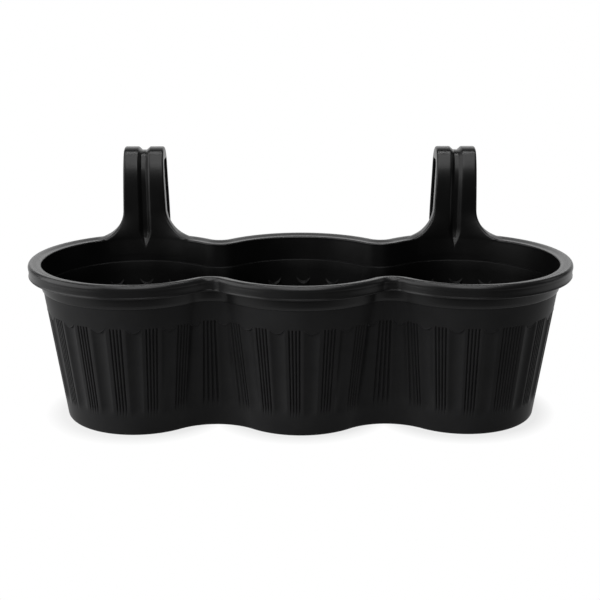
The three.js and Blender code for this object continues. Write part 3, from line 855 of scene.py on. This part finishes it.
def black_plastic(name, colour, gloss_level, roughness, spread, grain, grain_depth, inner_shade_share=1.0):
    """Satin black polypropylene: fine moulded grain, and a slow change of gloss, shade and level. On points
    marked as inside the colour is darkened, a painted shade for the hollows.
    """
    material = bpy.data.materials.new(name)
    material.use_nodes = True
    tree = material.node_tree
    tree.nodes.clear()
    link = tree.links.new
    out = node(tree, "ShaderNodeOutputMaterial")
    shader = node(tree, "ShaderNodeBsdfPrincipled")
    shader.inputs["Specular IOR Level"].default_value = gloss_level
    place = node(tree, "ShaderNodeTexCoord")
    fine = node(tree, "ShaderNodeTexNoise", in_Scale=grain, in_Detail=3.0, in_Roughness=0.6)
    slow = node(tree, "ShaderNodeTexNoise", in_Scale=SLOW_SCALE, in_Detail=4.0, in_Roughness=0.55)
    gloss = node(tree, "ShaderNodeMapRange")
    gloss.inputs["From Min"].default_value = NOISE_LOW
    gloss.inputs["From Max"].default_value = NOISE_HIGH
    gloss.inputs["To Min"].default_value = roughness - spread
    gloss.inputs["To Max"].default_value = roughness + spread
    tint = node(tree, "ShaderNodeValToRGB")
    dark, light = tint.color_ramp.elements
    dark.position, light.position = NOISE_LOW, NOISE_HIGH
    dark.color = [c * (1 - SHADE_SPREAD) for c in colour] + [1]
    light.color = [c * (1 + SHADE_SPREAD) for c in colour] + [1]
    bump = node(tree, "ShaderNodeBump", in_Strength=0.35, in_Distance=grain_depth)
    soft = node(tree, "ShaderNodeBump", in_Strength=0.3, in_Distance=SLOW_DEPTH)
    link(place.outputs["Object"], fine.inputs["Vector"])
    link(place.outputs["Object"], slow.inputs["Vector"])
    link(slow.outputs["Fac"], gloss.inputs["Value"])
    link(slow.outputs["Fac"], tint.inputs["Fac"])
    link(slow.outputs["Fac"], soft.inputs["Height"])
    link(soft.outputs["Normal"], bump.inputs["Normal"])
    link(fine.outputs["Fac"], bump.inputs["Height"])
    # Painted shade: points marked as inside get their colour scaled down, as shade falls in the hollows.
    inside = node(tree, "ShaderNodeAttribute", attribute_name="inside")
    shade = node(tree, "ShaderNodeMapRange")
    shade.inputs["To Min"].default_value = 1.0
    shade.inputs["To Max"].default_value = inner_shade_share
    shaded_colour = node(tree, "ShaderNodeVectorMath", operation="SCALE")
    link(inside.outputs["Fac"], shade.inputs["Value"])
    link(tint.outputs["Color"], shaded_colour.inputs[0])
    link(shade.outputs["Result"], shaded_colour.inputs["Scale"])
    link(shaded_colour.outputs["Vector"], shader.inputs["Base Color"])
    link(gloss.outputs["Result"], shader.inputs["Roughness"])
    link(bump.outputs["Normal"], shader.inputs["Normal"])
    link(shader.outputs["BSDF"], out.inputs["Surface"])
    return material


POT_BLACK = (0.0078, 0.0078, 0.008)
RIM_BLACK = (0.0042, 0.0042, 0.0043)
# Painted shade: the hooks take the rim's finish in a darker black, matched to the painted shade on the rim's
# inner side that they run into.
HOOK_SHADE_BLACK = (0.0014, 0.0014, 0.0014)
POT_FINISH = {"gloss_level": 0.05, "roughness": 0.42, "spread": 0.03, "grain": 1500.0, "grain_depth": 0.00004}
RIM_FINISH = {"gloss_level": 0.18, "roughness": 0.31, "spread": 0.02, "grain": 1700.0, "grain_depth": 0.00003}
# The pots' inside and the rim's inner side get a painted shade, a darker copy of the same black.
pot_plastic = black_plastic("pot_plastic_look", POT_BLACK, inner_shade_share=0.06, **POT_FINISH)
rim_plastic = black_plastic("rim_plastic_look", RIM_BLACK, inner_shade_share=0.2, **RIM_FINISH)
hook_plastic = black_plastic("hook_plastic_look", HOOK_SHADE_BLACK, **RIM_FINISH)

walls = pot_walls(pot_plastic)
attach(walls, "root")
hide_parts("floor", "left_wall", "right_wall", "front_wall", "back_wall")

rim_band = rim(rim_plastic)
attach(rim_band, "root")
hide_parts("rim")

HOOKS = (("left_hook_loop", "left_hook", -1), ("right_hook_loop", "right_hook", 1))
for hook_name, hook_node, hand in HOOKS:
    loop = hook(hook_name, hand, hook_plastic)
    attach(loop, "root")
    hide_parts(hook_node)


# The stage: a white sheet that runs from in front of the planter and sweeps up behind it


def seen_factor(tree):
    """1 for camera, glossy and transmission rays, else 0."""
    path = node(tree, "ShaderNodeLightPath")
    first = node(tree, "ShaderNodeMath", operation="MAXIMUM")
    second = node(tree, "ShaderNodeMath", operation="MAXIMUM")
    tree.links.new(path.outputs["Is Camera Ray"], first.inputs[0])
    tree.links.new(path.outputs["Is Glossy Ray"], first.inputs[1])
    tree.links.new(first.outputs[0], second.inputs[0])
    tree.links.new(path.outputs["Is Transmission Ray"], second.inputs[1])
    return second.outputs[0]


SHEET_HALF_WIDTH = 3000.0
SHEET_FRONT = -365.0
SHEET_BEND_Y = 2200.0
SHEET_BEND_RADIUS = 500.0
SHEET_HEIGHT = 1900.0
SHEET_GREY = 0.25
# Share of the sheet round the foot that shows its grey: a ring of painted shade that also takes the real
# shadow.
SHADOW_SHARE = 0.22
# Distances in metres from the nearest pot's axis, between which the ring of painted shade and real shadow
# fades out
SHADOW_FROM = 0.074
SHADOW_TO = 0.091
WORLD_LEVEL = 0.1


def sheet_material():
    """White that shows as plain white, but round the foot a share of it is grey and takes the planter's
    shadow: a ring of painted shade besides the real shadow.
    """
    material = bpy.data.materials.new("white_sheet_look")
    material.use_nodes = True
    tree = material.node_tree
    tree.nodes.clear()
    link = tree.links.new
    out = node(tree, "ShaderNodeOutputMaterial")
    diffuse = node(tree, "ShaderNodeBsdfDiffuse", in_Color=(SHEET_GREY, SHEET_GREY, SHEET_GREY, 1))
    glow = node(tree, "ShaderNodeEmission", in_Color=(1, 1, 1, 1), in_Strength=1.0)
    mix = node(tree, "ShaderNodeMixShader")
    place = node(tree, "ShaderNodeTexCoord")
    fold = node(tree, "ShaderNodeVectorMath", operation="ABSOLUTE")
    from_end = node(tree, "ShaderNodeVectorMath", operation="SUBTRACT")
    from_end.inputs[1].default_value = (POT_PITCH * MM, 0, 0)
    far_middle = node(tree, "ShaderNodeVectorMath", operation="LENGTH")
    far_end = node(tree, "ShaderNodeVectorMath", operation="LENGTH")
    nearest = node(tree, "ShaderNodeMath", operation="MINIMUM")
    # Painted shade: the ring round each foot shows a share of the grey sheet.
    ramp = node(tree, "ShaderNodeMapRange")
    ramp.inputs["From Min"].default_value = SHADOW_FROM
    ramp.inputs["From Max"].default_value = SHADOW_TO
    ramp.inputs["To Min"].default_value = 1 - SHADOW_SHARE
    ramp.inputs["To Max"].default_value = 1.0
    share = node(tree, "ShaderNodeMath", operation="MULTIPLY")
    link(place.outputs["Object"], fold.inputs[0])
    link(fold.outputs["Vector"], from_end.inputs[0])
    link(fold.outputs["Vector"], far_middle.inputs[0])
    link(from_end.outputs["Vector"], far_end.inputs[0])
    link(far_middle.outputs["Value"], nearest.inputs[0])
    link(far_end.outputs["Value"], nearest.inputs[1])
    link(nearest.outputs[0], ramp.inputs["Value"])
    link(ramp.outputs["Result"], share.inputs[0])
    link(seen_factor(tree), share.inputs[1])
    link(share.outputs[0], mix.inputs["Fac"])
    link(diffuse.outputs[0], mix.inputs[1])
    link(glow.outputs[0], mix.inputs[2])
    link(mix.outputs[0], out.inputs["Surface"])
    return material


def white_sheet():
    profile = [(SHEET_FRONT, 0.0), (SHEET_BEND_Y, 0.0)]
    for degrees in range(10, 91, 10):
        a = math.radians(degrees)
        rise = SHEET_BEND_RADIUS * (1 - math.cos(a))
        profile.append((SHEET_BEND_Y + SHEET_BEND_RADIUS * math.sin(a), rise))
    profile.append((SHEET_BEND_Y + SHEET_BEND_RADIUS, SHEET_HEIGHT))
    verts = [(x, y, z) for y, z in profile for x in (-SHEET_HALF_WIDTH, SHEET_HALF_WIDTH)]
    return mesh_object("white_sheet", verts, grid_faces(len(profile), 2, closed=False), sheet_material())


white_sheet()

world = bpy.data.worlds.new("soft_surround")
bpy.context.scene.world = world
world.use_nodes = True
surround = world.node_tree.nodes["Background"]
surround.inputs["Color"].default_value = (1, 1, 1, 1)
surround.inputs["Strength"].default_value = WORLD_LEVEL


def soft_lamp(name, place, target, width, height, watts):
    """A rectangular lamp at a place, turned to a target."""
    lamp = bpy.data.lights.new(name, "AREA")
    lamp.shape = "RECTANGLE"
    lamp.size, lamp.size_y = width, height
    lamp.energy = watts
    obj = bpy.data.objects.new(name, lamp)
    bpy.context.scene.collection.objects.link(obj)
    obj.location = place
    obj.rotation_euler = (Vector(target) - Vector(place)).to_track_quat("-Z", "Y").to_euler()
    return obj


# Name, place, target, width, height and watts. The top lamp gives highlights only, and the side lamp only
# shapes the walls and leaves the waists dark.
lamp_top = soft_lamp("lamp_top", (0.0, -0.75, 1.2), (0, 0, 0.1), 1.3, 0.75, 15.5)
lamp_top.visible_diffuse = False
lamp_side = soft_lamp("lamp_side", (-1.34, -0.41, 0.5), (0, 0, 0.1), 0.5, 0.5, 22)
lamp_side.visible_glossy = False
soft_lamp("lamp_front", (0.0, -1.2, 0.78), (0, 0, 0.12), 0.9, 0.5, 9.5)
soft_lamp("lamp_crest", (0.0, -0.12, 1.25), (0, -0.1, 0.15), 1.3, 0.16, 12)
soft_lamp("lamp_back", (0.0, 1.2, 1.1), (0, 0, 0.15), 2.4, 1.2, 14)
soft_lamp("lamp_left", (-1.4, -0.42, 0.65), (0, 0, 0.1), 2.0, 1.4, 35)
soft_lamp("lamp_right", (1.3, 0.1, 0.6), (0, 0, 0.1), 0.5, 0.6, 1.2)

# The camera of the photograph, from a fit to the outline, in metres and radians
CAMERA_YAW = 0.0065
CAMERA_PITCH = 0.28734
CAMERA_DISTANCE = 1.0754
CAMERA_TARGET = (-0.0007, 0.0, 0.1071)
CAMERA_FOCAL_PIXELS = 1150.9
IMAGE_PIXELS = 600

camera = bpy.data.cameras.new("camera")
camera.sensor_width = 36.0
camera.lens = CAMERA_FOCAL_PIXELS / IMAGE_PIXELS * camera.sensor_width
camera_obj = bpy.data.objects.new("camera", camera)
bpy.context.scene.collection.objects.link(camera_obj)
flat = CAMERA_DISTANCE * math.cos(CAMERA_PITCH)
camera_obj.location = (
    CAMERA_TARGET[0] * math.cos(CAMERA_YAW) - flat * math.sin(CAMERA_YAW),
    -CAMERA_TARGET[0] * math.sin(CAMERA_YAW) - flat * math.cos(CAMERA_YAW),
    CAMERA_TARGET[2] + CAMERA_DISTANCE * math.sin(CAMERA_PITCH),
)
camera_obj.rotation_euler = (math.pi / 2 - CAMERA_PITCH, 0, -CAMERA_YAW)
bpy.context.scene.camera = camera_obj
bpy.context.scene.view_settings.view_transform = "Standard"
